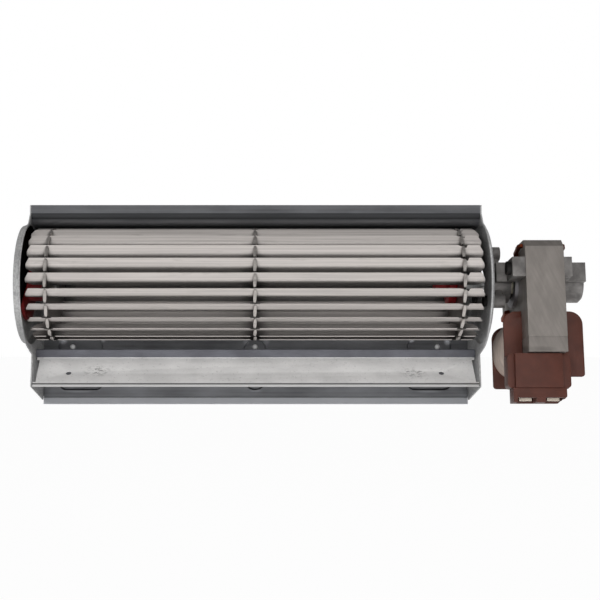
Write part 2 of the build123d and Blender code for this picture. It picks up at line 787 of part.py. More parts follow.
# Three screws from inside the right dish into the bracket's lugs
with BuildPart() as motor_mount_screws:
    with BuildSketch(across(right_dish_inner - mount_head_height)):
        with PolarLocations(mount_circle_radius, 3, start_angle=mount_first_angle):
            Circle(mount_head_radius)
    extrude(amount=mount_head_height)
    with BuildSketch(across(right_dish_inner)):
        with PolarLocations(mount_circle_radius, 3, start_angle=mount_first_angle):
            Circle(mount_screw_diameter / 2)
    extrude(amount=mount_screw_depth)
finish(motor_mount_screws, "motor_mount_screws")

# Coil former: tube round the limb, two flanges and the terminal housing with its raised panel
flange_start = stack_start - flange_left
flange_end = stack_end + flange_right
flange_crown = window_top + flange_top
tube_x = stack_length + 2 * former_gap
tube_z = limb_height + 2 * former_gap
limb_middle = limb_top - limb_height / 2
housing_start = stack_start - housing_left
housing_end = stack_end + housing_right
housing_top = limb_bottom - housing_top_gap
housing_bottom = housing_top - housing_height
panel_start = stack_start - panel_left
panel_end = stack_end - panel_right
terminal_middle = (housing_start + housing_end) / 2
terminal_places = [(terminal_middle - terminal_spacing / 2, 0), (terminal_middle + terminal_spacing / 2, 0)]
terminal_depth = flange_outer + (housing_depth + panel_proud) / 2


def flange_outline(crown, bottom):
    """Flange of the coil former, open where the stack's window takes it."""
    shoulder = crown - flange_shoulder
    with BuildSketch() as outline:
        with BuildLine():
            FilletPolyline(
                (stack_middle, crown), (flange_end, crown), (flange_end, shoulder),
                radius=flange_top_corner,
            )
            FilletPolyline(
                (flange_end, shoulder), (flange_end, bottom), (stack_middle, bottom),
                radius=flange_bottom_corner,
            )
            FilletPolyline(
                (stack_middle, bottom), (flange_start, bottom), (flange_start, shoulder),
                radius=flange_bottom_corner,
            )
            FilletPolyline(
                (flange_start, shoulder), (flange_start, crown), (stack_middle, crown),
                radius=flange_top_corner,
            )
        make_face()
        with Locations((stack_middle, window_top)):
            Rectangle(tube_x, 2 * flange_top, mode=Mode.SUBTRACT)
        with Locations((stack_middle, limb_middle)):
            Rectangle(tube_x, tube_z, mode=Mode.SUBTRACT)
    return outline.sketch


with BuildPart() as bobbin:
    with BuildSketch(motor_front(flange_outer)):
        add(flange_outline(flange_crown - rear_flange_drop, rear_flange_bottom))
    extrude(amount=flange_thickness)
    with BuildSketch(motor_front(-flange_inner)):
        add(flange_outline(flange_crown, front_flange_bottom))
    extrude(amount=flange_thickness)
    with BuildSketch(motor_front(flange_inner)):
        with Locations((stack_middle, limb_middle)):
            Rectangle(tube_x + 2 * former_wall, tube_z + 2 * former_wall)
            Rectangle(tube_x, tube_z, mode=Mode.SUBTRACT)
    extrude(amount=2 * flange_inner)
    with BuildSketch(motor_front(-flange_outer)):
        with Locations(((housing_start + housing_end) / 2, (housing_top + housing_bottom) / 2)):
            RectangleRounded(housing_end - housing_start, housing_height, housing_corner)
    extrude(amount=housing_depth)
    with BuildSketch(motor_front(-flange_outer - housing_depth)):
        with Locations(((panel_start + panel_end) / 2, (housing_top + housing_bottom) / 2)):
            Rectangle(panel_end - panel_start, housing_height)
    extrude(amount=panel_proud)
    with BuildSketch(motor_above(housing_bottom)):
        with Locations(*[(-terminal_depth, x) for x, _ in terminal_places]):
            Rectangle(terminal_thickness + 2 * seat_gap, terminal_width + 2 * seat_gap)
    extrude(amount=-terminal_insert, mode=Mode.SUBTRACT)
finish(bobbin, "bobbin")

# Winding and its tape, between the flanges
coil_start = stack_start - former_gap - former_wall - coil_side_build
coil_width = 2 * (stack_middle - coil_start)
coil_top = limb_top + former_gap + former_wall + coil_top_build
coil_bottom = limb_bottom - former_gap - former_wall - coil_bottom_build
coil_height = coil_top - coil_bottom
coil_middle = (stack_middle, (coil_top + coil_bottom) / 2)
coil_half = flange_inner - seat_gap
with BuildPart() as coil_winding:
    with BuildSketch(motor_front(coil_half)):
        with Locations(coil_middle):
            RectangleRounded(
                coil_width - 2 * tape_thickness, coil_height - 2 * tape_thickness,
                coil_corner - tape_thickness,
            )
        with Locations((stack_middle, limb_middle)):
            Rectangle(
                tube_x + 2 * former_wall + 2 * seat_gap, tube_z + 2 * former_wall + 2 * seat_gap,
                mode=Mode.SUBTRACT,
            )
    extrude(amount=2 * coil_half)
finish(coil_winding, "coil_winding")

with BuildPart() as coil_tape:
    with BuildSketch(motor_front(coil_half)):
        with Locations(coil_middle):
            RectangleRounded(coil_width, coil_height, coil_corner)
            RectangleRounded(
                coil_width - 2 * tape_thickness + 2 * seat_gap,
                coil_height - 2 * tape_thickness + 2 * seat_gap,
                coil_corner - tape_thickness, mode=Mode.SUBTRACT,
            )
    extrude(amount=2 * coil_half)
finish(coil_tape, "coil_tape")

# Shroud under the terminal housing, open below round each tab
shroud_start = stack_start - shroud_left
shroud_end = stack_end - shroud_right
shroud_bottom = housing_bottom - shroud_height
shroud_depth = housing_depth + panel_proud - 2 * shroud_setback
with BuildPart() as terminal_shroud:
    with BuildSketch(motor_front(-flange_outer - shroud_setback)):
        Polygon(
            (shroud_start, housing_bottom), (shroud_end, housing_bottom),
            (shroud_end, shroud_bottom + shroud_chamfer), (shroud_end - shroud_chamfer, shroud_bottom),
            (shroud_start, shroud_bottom),
            align=None,
        )
    extrude(amount=shroud_depth)
    with BuildSketch(motor_above(housing_bottom)):
        with Locations(*[(-terminal_depth, x) for x, _ in terminal_places]):
            Rectangle(shroud_cavity_depth, shroud_cavity_width)
    extrude(amount=shroud_height, mode=Mode.SUBTRACT)
    with BuildSketch(motor_front(-terminal_depth)):
        with Locations(*[(x, shroud_bottom) for x, _ in terminal_places]):
            Rectangle(shroud_notch_width, 2 * shroud_notch_height)
    extrude(amount=shroud_depth, mode=Mode.SUBTRACT)
finish(terminal_shroud, "terminal_shroud")

with BuildPart() as terminal_tabs:
    with BuildSketch(motor_above(housing_bottom + terminal_insert)):
        with Locations(*[(-terminal_depth, x) for x, _ in terminal_places]):
            Rectangle(terminal_thickness, terminal_width)
    extrude(amount=terminal_insert + shroud_height - terminal_recess)
finish(terminal_tabs, "terminal_tabs")
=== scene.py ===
"""Cross flow fan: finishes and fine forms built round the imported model, laid out as an add-on."""

import json
from math import cos, pi, radians, sin, tan

import bmesh
import bpy
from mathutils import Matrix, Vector


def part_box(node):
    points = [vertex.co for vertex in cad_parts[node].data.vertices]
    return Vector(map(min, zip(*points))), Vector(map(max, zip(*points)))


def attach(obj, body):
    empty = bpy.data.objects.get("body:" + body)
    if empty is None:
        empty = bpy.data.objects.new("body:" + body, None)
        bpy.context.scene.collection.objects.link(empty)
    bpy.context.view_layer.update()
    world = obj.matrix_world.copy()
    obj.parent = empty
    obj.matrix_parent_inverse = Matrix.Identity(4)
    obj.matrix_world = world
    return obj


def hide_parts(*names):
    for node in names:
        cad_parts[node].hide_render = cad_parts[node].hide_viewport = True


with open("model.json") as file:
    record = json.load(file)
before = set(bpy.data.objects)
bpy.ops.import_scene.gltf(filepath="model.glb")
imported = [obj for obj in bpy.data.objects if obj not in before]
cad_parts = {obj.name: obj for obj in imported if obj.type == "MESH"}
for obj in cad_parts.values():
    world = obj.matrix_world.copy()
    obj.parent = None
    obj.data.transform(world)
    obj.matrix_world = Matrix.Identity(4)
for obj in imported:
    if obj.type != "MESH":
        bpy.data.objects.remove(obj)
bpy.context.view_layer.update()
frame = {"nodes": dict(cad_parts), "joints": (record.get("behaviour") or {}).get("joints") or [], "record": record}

bl_info = {
    "name": "Cross Flow Fan",
    "version": (1, 0, 0),
    "blender": (4, 5, 0),
    "location": "3D View > Sidebar > Fan",
    "description": "Dresses the packed cross flow fan with its finishes and fine forms",
    "category": "Object",
}

MM = 0.001
SHAFT = Vector(frame["joints"][0]["pos_m"])
HOUSING = "housing"
IMPELLER = "impeller"
# Painted highlights on the pressed pads' flanks: X and Z, half width and half height in mm, and how much
PAD_PAINTED_HIGHLIGHTS = (
    (-110.4, 3.6, 2.8, 2.4, 0.45), (-87.2, 4.0, 1.8, 2.0, 0.35), (-100.5, -25.6, 10.0, 1.0, 0.15),
    (-5.2, 3.0, 2.4, 2.2, 0.2), (-2.6, 4.6, 1.8, 0.9, 1.0), (4.3, 4.6, 1.8, 0.9, 1.0),
    (6.6, 3.0, 2.4, 2.2, 0.2), (0.5, -25.2, 5.0, 0.9, 0.15), (89.9, 3.9, 2.2, 1.8, 0.7),
    (110.7, 3.4, 2.2, 2.8, 0.6), (99.5, -25.6, 10.0, 1.0, 0.15),
)
# How far the front mouth reaches along Y in mm, and its bands of painted shade and painted light: lowest and
# highest Z, soft edge in mm, shade
MOUTH_REACH = (-90.0, -34.0)
MOUTH_PAINTED_SHADE_AND_LIGHT = ((71.0, 73.9, 0.3, 0.32), (60.0, 67.0, 3.5, 2.6))
# How much lighter the sheet's painted highlights are than its colour
PAINTED_LIGHT_FACTOR = 4.6
# Centres and half sizes in mm of the stains round the tongue's holes and of the smear on the stack's foot
TONGUE_STAINS = ((-87.0, -32.0, -12.0), (86.5, -32.0, -13.0))
STAIN_SIZE = (8.5, 12.0, 3.4)
STACK_SMEAR = (146.5, -66.0, 1.8)
SMEAR_SIZE = (11.0, 16.0, 2.2)
WHITE = (1.0, 1.0, 1.0, 1.0)


class FanSizes(bpy.types.PropertyGroup):
    """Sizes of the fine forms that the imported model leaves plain."""

    blade_count: bpy.props.IntProperty(name="Blades", description="Blades round the impeller", default=23)
    first_blade: bpy.props.FloatProperty(
        name="First blade", description="Turn of the first blade above the inlet", subtype="ANGLE",
        default=radians(-4.5),
    )
    outer_lean: bpy.props.FloatProperty(
        name="Outer lean", description="Lean of a blade's outer flat from the rim", subtype="ANGLE",
        default=radians(27.0),
    )
    inner_lean: bpy.props.FloatProperty(
        name="Inner lean", description="Lean of a blade's inner flat from the rim", subtype="ANGLE",
        default=radians(82.0),
    )
    outer_flat: bpy.props.FloatProperty(
        name="Outer flat", description="Length of a blade's outer flat up to the fold", subtype="DISTANCE",
        unit="LENGTH", default=4.73 * MM,
    )
    inner_flat: bpy.props.FloatProperty(
        name="Inner flat", description="Length of a blade's inner flat from the fold", subtype="DISTANCE",
        unit="LENGTH", default=4.71 * MM,
    )
    fold_radius: bpy.props.FloatProperty(
        name="Fold radius", description="Radius of the fold between a blade's flats", subtype="DISTANCE",
        unit="LENGTH", default=2.2 * MM,
    )
    blade_gauge: bpy.props.FloatProperty(
        name="Blade gauge", description="Thickness of the blades' strip", subtype="DISTANCE",
        unit="LENGTH", default=0.45 * MM,
    )
    outer_clip: bpy.props.FloatVectorProperty(
        name="Outer clip", description="Clipped outer corner, along the blade and across it",
        subtype="XYZ_LENGTH", unit="LENGTH", size=2, default=(1.7 * MM, 3.2 * MM),
    )
    inner_clip: bpy.props.FloatVectorProperty(
        name="Inner clip", description="Clipped inner corner, along the blade and across it",
        subtype="XYZ_LENGTH", unit="LENGTH", size=2, default=(3.3 * MM, 3.5 * MM),
    )
    notch: bpy.props.FloatVectorProperty(
        name="Notch", description="Notch in a blade's outer edge at each disc: width, floor width and depth",
        subtype="XYZ_LENGTH", unit="LENGTH", size=3, default=(5.0 * MM, 3.6 * MM, 1.6 * MM),
    )
    end_bore: bpy.props.FloatProperty(
        name="End bore", description="Bore of the end discs, filled by the stub shaft and the hub",
        subtype="DISTANCE", unit="LENGTH", default=3.0 * MM,
    )
    middle_bore: bpy.props.FloatProperty(
        name="Middle bore", description="Bore of the middle disc", subtype="DISTANCE", unit="LENGTH",
        default=6.0 * MM,
    )
    wall_lip: bpy.props.FloatProperty(
        name="Wall lip", description="Height of the lip below the back wall",
        subtype="DISTANCE", unit="LENGTH", default=3.95 * MM,
    )
    tongue_lip: bpy.props.FloatProperty(
        name="Tongue lip", description="Height of the lip below the tongue's plate",
        subtype="DISTANCE", unit="LENGTH", default=2.1 * MM,
    )
    rim_thickness: bpy.props.FloatProperty(
        name="Rim thickness", description="Thickness of the crimped rim", subtype="DISTANCE",
        unit="LENGTH", default=1.7 * MM,
    )
    rim_width: bpy.props.FloatProperty(
        name="Rim width", description="Width of the crimped rim between two blades", subtype="DISTANCE",
        unit="LENGTH", default=1.9 * MM,
    )
    rim_gap: bpy.props.FloatProperty(
        name="Rim gap", description="Gap in the rim where a blade passes", subtype="DISTANCE",
        unit="LENGTH", default=1.2 * MM,
    )
    rim_twist: bpy.props.FloatProperty(
        name="Rim twist", description="Twist of the rim between two blades", subtype="ANGLE",
        default=radians(35.0),
    )
    nose_height: bpy.props.FloatProperty(
        name="Nose height", description="Height of the tongue's nose above its fold", subtype="DISTANCE",
        unit="LENGTH", default=4.7 * MM,
    )
    moulded_edge: bpy.props.FloatProperty(
        name="Moulded edge", description="Rounding of the moulded edges", subtype="DISTANCE",
        unit="LENGTH", default=0.5 * MM,
    )
    cast_edge: bpy.props.FloatProperty(
        name="Cast edge", description="Rounding of the cast edges", subtype="DISTANCE",
        unit="LENGTH", default=0.6 * MM,
    )
    sheet_edge: bpy.props.FloatProperty(
        name="Sheet edge", description="Rounding of the drawn sheet's bends", subtype="DISTANCE",
        unit="LENGTH", default=0.35 * MM,
    )
    stamped_edge: bpy.props.FloatProperty(
        name="Stamped edge", description="Rounding of stamped and turned edges", subtype="DISTANCE",
        unit="LENGTH", default=0.15 * MM,
    )


def hex_colour(text):
    """Linear colour of an sRGB hex value."""
    channels = [int(text[i:i + 2], 16) / 255 for i in (1, 3, 5)]
    linear = [c / 12.92 if c <= 0.04045 else ((c + 0.055) / 1.055) ** 2.4 for c in channels]
    return (*linear, 1.0)


def colour_property(label, text):
    """A colour that the panel shows, given as an sRGB hex value."""
    return bpy.props.FloatVectorProperty(
        name=label, description=f"Colour of the {label.lower()}", subtype="COLOR", size=4,
        min=0.0, max=1.0, default=hex_colour(text),
    )


class FanColours(bpy.types.PropertyGroup):
    """Colours of the finishes."""

    housing_sheet: colour_property("Housing sheet", "#76777A")
    end_sheet: colour_property("End plate sheet", "#B0B0B0")
    tongue_sheet: colour_property("Tongue sheet", "#DFDEDD")
    # A darker bluish colour painted on the tongue's nose as shade
    nose_shade: colour_property("Nose skin", "#64656C")
    blade_strip: colour_property("Blade strip", "#C0BAB6")
    disc: colour_property("Disc", "#CFC9C4")
    silicone: colour_property("Silicone", "#86171A")
    lamination: colour_property("Laminations", "#8E8883")
    zinc_casting: colour_property("Zinc casting", "#858280")
    thermoset: colour_property("Moulding", "#48241A")
    tape: colour_property("Coil tape", "#CFBDB1")
    copper: colour_property("Copper", "#95492F")


def add_node(tree, kind, inputs=None, **settings):
    """Adds one node. Inputs are set by socket name or number, to a value or to another node's output."""
    node = tree.nodes.new(kind)
    for key, value in settings.items():
        setattr(node, key, value)
    for key, value in (inputs or {}).items():
        if isinstance(value, bpy.types.NodeSocket):
            tree.links.new(value, node.inputs[key])
        else:
            node.inputs[key].default_value = value
    return node


def calculate(tree, operation, *values):
    """The result of a Math node's operation on values or outputs."""
    return add_node(tree, "ShaderNodeMath", dict(enumerate(values)), operation=operation).outputs[0]


def empty_tree(owner):
    """The node tree of a material or world, with no nodes in it."""
    owner.use_nodes = True
    owner.node_tree.nodes.clear()
    return owner.node_tree


def new_material(name, **sockets):
    """A material with one Principled shader. Returns it with its tree, shader and object coordinates."""
    material = bpy.data.materials.new(name)
    tree = empty_tree(material)
    plain = {key.replace("_", " ").title().replace("Ior", "IOR"): value for key, value in sockets.items()}
    shader = add_node(tree, "ShaderNodeBsdfPrincipled", plain)
    add_node(tree, "ShaderNodeOutputMaterial", {"Surface": shader.outputs[0]})
    place = add_node(tree, "ShaderNodeTexCoord").outputs["Object"]
    return material, tree, shader, place


def cells(tree, place, size_mm, detail=3.0, rough=0.55):
    """Soft cloudy noise between about 0.3 and 0.7, with cells of these sizes along X, Y and Z."""
    scale = tuple(1 / (s * MM) for s in size_mm)
    stretched = add_node(tree, "ShaderNodeMapping", {"Vector": place, "Scale": scale})
    settings = {"Vector": stretched.outputs[0], "Scale": 1.0, "Detail": detail, "Roughness": rough}
    return add_node(tree, "ShaderNodeTexNoise", settings).outputs[0]


def spread(tree, value, low, high, to_low, to_high):
    """The value mapped from one range to another and held inside it."""
    ranges = {"Value": value, "From Min": low, "From Max": high, "To Min": to_low, "To Max": to_high}
    return add_node(tree, "ShaderNodeMapRange", ranges).outputs[0]


def blend_colours(tree, factor, first, second):
    """Mixes two colours, each a value or an output."""
    inputs = {0: factor, 6: first, 7: second}
    return add_node(tree, "ShaderNodeMix", inputs, data_type="RGBA").outputs[2]


def patch(tree, place, centre_mm, size_mm):
    """1 at a spot of the object, fading to 0 at this size from it along X, Y and Z."""
    from_spot = add_node(tree, "ShaderNodeVectorMath", {
        0: place, 1: tuple(c * MM for c in centre_mm),
    }, operation="SUBTRACT").outputs[0]
    share = add_node(tree, "ShaderNodeVectorMath", {
        0: from_spot, 1: tuple(s * MM for s in size_mm),
    }, operation="DIVIDE").outputs[0]
    reach = add_node(tree, "ShaderNodeVectorMath", {0: share}, operation="LENGTH").outputs["Value"]
    return spread(tree, reach, 0.3, 1.0, 1.0, 0.0)


def band(tree, value, low_mm, high_mm, soft_mm):
    """1 where a coordinate lies between two values, fading to 0 over soft_mm on both sides."""
    rise = spread(tree, value, (low_mm - soft_mm) * MM, low_mm * MM, 0.0, 1.0)
    fall = spread(tree, value, high_mm * MM, (high_mm + soft_mm) * MM, 1.0, 0.0)
    return calculate(tree, "MULTIPLY", rise, fall)


def bump(tree, height, depth_mm, strength):
    """A bump whose full height is depth_mm."""
    inputs = {"Height": height, "Distance": depth_mm * MM, "Strength": strength}
    return add_node(tree, "ShaderNodeBump", inputs).outputs[0]


def painted_shade_mask(tree, reach_mm, low, high):
    """1 where nearby walls shelter the surface, 0 where it lies open: a mask for painted shade."""
    reach = {"Distance": reach_mm * MM}
    openness = add_node(tree, "ShaderNodeAmbientOcclusion", reach, samples=8).outputs["AO"]
    return spread(tree, openness, low, high, 1.0, 0.0)


def shade(colour, factor):
    """A colour made darker or lighter by a factor."""
    return (*(min(1.0, c * factor) for c in colour[:3]), 1.0)


def two_tones(tree, value, colour, dark, light, low=0.35, high=0.65):
    """A darker shade of a colour where the value is low, and a lighter one where it is high."""
    share = spread(tree, value, low, high, 0.0, 1.0)
    return blend_colours(tree, share, shade(colour, dark), shade(colour, light))


def aluminised_sheet(colour, lip_height):
    """Aluminised steel sheet, cold rolled: faint streaks, cloudy marks, a painted highlight on its lip and pads,
    painted shade and light in the mouth.
    """
    material, tree, shader, place = new_material("aluminised_steel_rolled", metallic=0.85)
    cloud = cells(tree, place, (38.0, 14.0, 14.0), 4.0)
    streak = cells(tree, place, (90.0, 1.2, 1.2), 2.0)
    grain = cells(tree, place, (0.9, 0.9, 0.9), 2.0)
    tone = two_tones(tree, cloud, colour, 0.72, 1.18)
    wear_and_painted_light = blend_colours(tree, spread(tree, streak, 0.4, 0.6, 0.0, 0.35), tone, shade(colour, 1.3))
    parts = add_node(tree, "ShaderNodeSeparateXYZ", {0: place}).outputs
    front = band(tree, parts[1], *MOUTH_REACH, 1.0)
    # The mouth's bands: painted shade below the front lip, painted light over the shade above the blades
    for low, high, soft, factor in MOUTH_PAINTED_SHADE_AND_LIGHT:
        mouth = calculate(tree, "MULTIPLY", front, band(tree, parts[2], low, high, soft))
        wear_and_painted_light = blend_colours(tree, mouth, wear_and_painted_light, shade(colour, factor))
    # The lip below the back wall's fold is painted lighter: a painted highlight
    lip = spread(tree, parts[2], lip_height, lip_height - 0.4 * MM, 0.0, 0.9)
    wear_and_painted_light = blend_colours(tree, lip, wear_and_painted_light, shade(colour, PAINTED_LIGHT_FACTOR))
    # Painted highlights where the pads' slanted flanks would catch light: lighter and less metallic
    painted_highlight = 0.0
    for across, up, width, tall, share in PAD_PAINTED_HIGHLIGHTS:
        spot = patch(tree, place, (across, -1.0, up), (width, 4.0, tall))
        painted_highlight = calculate(tree, "MULTIPLY_ADD", spot, share, painted_highlight)
    tree.links.new(blend_colours(tree, painted_highlight, wear_and_painted_light, shade(colour, PAINTED_LIGHT_FACTOR)), shader.inputs["Base Color"])
    tree.links.new(spread(tree, painted_highlight, 0.0, 0.5, 0.85, 0.15), shader.inputs["Metallic"])
    tree.links.new(spread(tree, cloud, 0.3, 0.7, 0.52, 0.36), shader.inputs["Roughness"])
    tree.links.new(bump(tree, grain, 0.02, 0.5), shader.inputs["Normal"])
    return material


def spangled_sheet(colour):
    """Galvanised steel sheet, weathered: dull grey with a crumbly dark spangle, and painted shade where walls
    shelter it.
    """
    material, tree, shader, place = new_material("galvanised_steel_weathered", metallic=0.2)
    cloud = cells(tree, place, (14.0, 14.0, 14.0), 4.0)
    spangle = cells(tree, place, (1.1, 1.1, 1.1), 4.0, 0.7)
    tone = two_tones(tree, cloud, colour, 0.75, 1.1)
    grainy = blend_colours(tree, spread(tree, spangle, 0.45, 0.6, 0.0, 0.5), tone, shade(colour, 0.35))
    # Painted shade: the sheet is darker where nearby walls shelter it
    grainy_and_painted_shade = blend_colours(tree, painted_shade_mask(tree, 14.0, 0.25, 0.65), grainy, shade(colour, 0.2))
    tree.links.new(grainy_and_painted_shade, shader.inputs["Base Color"])
    tree.links.new(spread(tree, spangle, 0.3, 0.7, 0.4, 0.6), shader.inputs["Roughness"])
    tree.links.new(bump(tree, spangle, 0.04, 0.5), shader.inputs["Normal"])
    return material


def bright_sheet(colour, skin, fold_height, foot_height):
    """Zinc coated sheet, left bright: pale and specked. The nose above the fold is painted a darker bluish shade,
    the lip below the foot fold painted shade.
    """
    material, tree, shader, place = new_material("zinc_coated_bright", metallic=0.3)
    cloud = cells(tree, place, (16.0, 12.0, 12.0), 3.0)
    speck = cells(tree, place, (1.5, 1.3, 1.3), 4.0, 0.7)
    tone = two_tones(tree, cloud, colour, 0.92, 1.08)
    marks_and_painted_shade = blend_colours(tree, spread(tree, speck, 0.58, 0.7, 0.0, 0.5), tone, shade(colour, 0.5))
    rub = spread(tree, cells(tree, place, (2.4, 1.2, 1.2), 4.0, 0.65), 0.48, 0.6, 0.0, 0.8)
    for spot in TONGUE_STAINS:
        stain = calculate(tree, "MULTIPLY", patch(tree, place, spot, STAIN_SIZE), rub)
        marks_and_painted_shade = blend_colours(tree, stain, marks_and_painted_shade, shade(colour, 0.22))
    height = add_node(tree, "ShaderNodeSeparateXYZ", {0: place}).outputs[2]
    # Painted shade on the lip below the foot fold: near black just under the fold, darker down the rest
    lip = spread(tree, height, foot_height + 0.1 * MM, foot_height - 0.1 * MM, 0.0, 1.0)
    marks_and_painted_shade = blend_colours(tree, lip, marks_and_painted_shade, shade(colour, 0.12))
    edge = spread(tree, height, foot_height - 0.75 * MM, foot_height - 0.95 * MM, 0.0, 1.0)
    marks_and_painted_shade = blend_colours(tree, edge, marks_and_painted_shade, shade(colour, 0.6))
    # The nose above the fold takes a darker bluish colour: painted shade
    nose = spread(tree, height, fold_height, fold_height + 0.3 * MM, 0.0, 1.0)
    painted_nose_shade = two_tones(tree, cloud, skin, 0.85, 1.15)
    tree.links.new(blend_colours(tree, nose, marks_and_painted_shade, painted_nose_shade), shader.inputs["Base Color"])
    tree.links.new(spread(tree, cloud, 0.3, 0.7, 0.5, 0.38), shader.inputs["Roughness"])
    tree.links.new(bump(tree, speck, 0.02, 0.4), shader.inputs["Normal"])
    return material


def mill_strip(colour):
    """Rolled aluminium strip: long fine streaks and faint smears, satin, with painted shade inside the wheel."""
    material, tree, shader, place = new_material("aluminium_strip_rolled", metallic=0.4)
    streak = cells(tree, place, (70.0, 0.8, 0.8), 2.0)
    smear = cells(tree, place, (16.0, 3.0, 3.0), 4.0)
    tone = two_tones(tree, streak, colour, 0.86, 1.05, 0.38, 0.62)
    smeared = blend_colours(tree, spread(tree, smear, 0.6, 0.72, 0.0, 0.4), tone, shade(colour, 0.6))
    # Painted shade: the strip is darker where the wheel shelters it
    smeared_and_painted_shade = blend_colours(tree, painted_shade_mask(tree, 8.0, 0.35, 0.82), smeared, shade(colour, 0.12))
    tree.links.new(smeared_and_painted_shade, shader.inputs["Base Color"])
    tree.links.new(spread(tree, streak, 0.3, 0.7, 0.4, 0.52), shader.inputs["Roughness"])
    return material


def stamped_disc(colour, blade_count, first_blade, rim_radius):
    """Stamped aluminium disc: a brownish face painted darker than its brighter rim as shade, and painted shade at
    the blades' crimps.
    """
    material, tree, shader, place = new_material("aluminium_disc_stamped", metallic=0.85)
    scuff = cells(tree, place, (2.0, 2.0, 2.0), 5.0, 0.7)
    from_shaft = add_node(tree, "ShaderNodeVectorMath", {0: place, 1: SHAFT}, operation="SUBTRACT").outputs[0]
    parts = add_node(tree, "ShaderNodeSeparateXYZ", {0: from_shaft}).outputs
    flat = add_node(tree, "ShaderNodeCombineXYZ", {1: parts[1], 2: parts[2]}).outputs[0]
    radius = add_node(tree, "ShaderNodeVectorMath", {0: flat}, operation="LENGTH").outputs["Value"]
    rim = spread(tree, radius, rim_radius - 1.6 * MM, rim_radius - 1.2 * MM, 0.0, 1.0)
    angle = calculate(tree, "ARCTAN2", parts[2], parts[1])
    blades_per_turn = blade_count / (2 * pi)
    turns = calculate(tree, "MULTIPLY_ADD", angle, blades_per_turn, blades_per_turn * (first_blade - pi))
    from_blade = calculate(tree, "PINGPONG", turns, 0.5)
    # Painted shade: near black on the rim where each blade passes through it
    notch = spread(tree, from_blade, 0.05, 0.13, 1.0, 0.0)
    notch_shade = calculate(tree, "MULTIPLY", notch, rim)
    # The face is painted darker than the rim: painted shade inside the wheel
    face = two_tones(tree, scuff, colour, 0.28, 0.5, high=0.68)
    edge = two_tones(tree, scuff, colour, 0.6, 1.0, high=0.68)
    tone = blend_colours(tree, rim, face, edge)
    tree.links.new(blend_colours(tree, notch_shade, tone, shade(colour, 0.05)), shader.inputs["Base Color"])
    tree.links.new(spread(tree, scuff, 0.3, 0.7, 0.3, 0.5), shader.inputs["Roughness"])
    return material


def moulded_silicone(colour):
    """Moulded silicone rubber: deep red, waxy."""
    material, tree, shader, place = new_material(
        "silicone_rubber_moulded", roughness=0.42, subsurface_weight=0.1, subsurface_scale=2 * MM,
    )
    cloud = cells(tree, place, (6.0, 6.0, 6.0))
    tone = two_tones(tree, cloud, colour, 0.8, 1.15, 0.3, 0.7)
    tree.links.new(tone, shader.inputs["Base Color"])
    return material


def turned(name, colour, rough=0.3, metallic=1.0):
    """Turned or drawn stock: fine marks square to the shaft."""
    material, tree, shader, place = new_material(name, metallic=metallic)
    mark = cells(tree, place, (0.25, 8.0, 8.0), 2.0)
    tone = two_tones(tree, mark, colour, 0.8, 1.1)
    tree.links.new(tone, shader.inputs["Base Color"])
    tree.links.new(spread(tree, mark, 0.3, 0.7, rough, rough + 0.12), shader.inputs["Roughness"])
    tree.links.new(bump(tree, mark, 0.01, 0.4), shader.inputs["Normal"])
    return material


def lamination_stack(colour):
    """Stamped laminations 0.5 mm thick: their edges draw fine lines, and grinding leaves slanting streaks."""
    material, tree, shader, place = new_material("electrical_steel_laminated", metallic=0.6)
    sheet_pitch = 1 / (0.5 * MM)
    pitch = add_node(tree, "ShaderNodeMapping", {"Vector": place, "Scale": (sheet_pitch, 0.0, 0.0)})
    lines = add_node(tree, "ShaderNodeTexWave", {
        "Vector": pitch.outputs[0], "Scale": 0.5, "Distortion": 0.0,
    }, wave_type="BANDS", bands_direction="X", wave_profile="TRI").outputs["Fac"]
    slanted = add_node(tree, "ShaderNodeMapping", {"Vector": place, "Rotation": (0.0, radians(24), 0.0)})
    streak = cells(tree, slanted.outputs[0], (1.6, 12.0, 24.0), 3.0)
    cloud = cells(tree, place, (7.0, 9.0, 16.0), 3.0)
    tone = two_tones(tree, streak, colour, 0.92, 1.07, high=0.68)
    aged = blend_colours(tree, spread(tree, cloud, 0.35, 0.65, 0.0, 0.5), tone, shade(colour, 0.72))
    lined = blend_colours(tree, spread(tree, lines, 0.0, 0.25, 0.22, 0.0), aged, shade(colour, 0.3))
    smear = calculate(tree, "MULTIPLY", patch(tree, place, STACK_SMEAR, SMEAR_SIZE), 0.6)
    lined = blend_colours(tree, smear, lined, shade(colour, 0.25))
    tree.links.new(lined, shader.inputs["Base Color"])
    tree.links.new(spread(tree, cloud, 0.3, 0.7, 0.42, 0.58), shader.inputs["Roughness"])
    tree.links.new(bump(tree, lines, 0.03, 0.35), shader.inputs["Normal"])
    return material


def cast_zinc(colour):
    """Die cast zinc alloy, dull grey, with the skin's fine pebble."""
    material, tree, shader, place = new_material("zinc_alloy_die_cast", metallic=0.7)
    pebble = cells(tree, place, (0.7, 0.7, 0.7), 3.0)
    cloud = cells(tree, place, (6.0, 6.0, 6.0), 3.0)
    tone = two_tones(tree, cloud, colour, 0.7, 1.15)
    tree.links.new(tone, shader.inputs["Base Color"])
    tree.links.new(spread(tree, cloud, 0.3, 0.7, 0.62, 0.46), shader.inputs["Roughness"])
    tree.links.new(bump(tree, pebble, 0.05, 0.5), shader.inputs["Normal"])
    return material


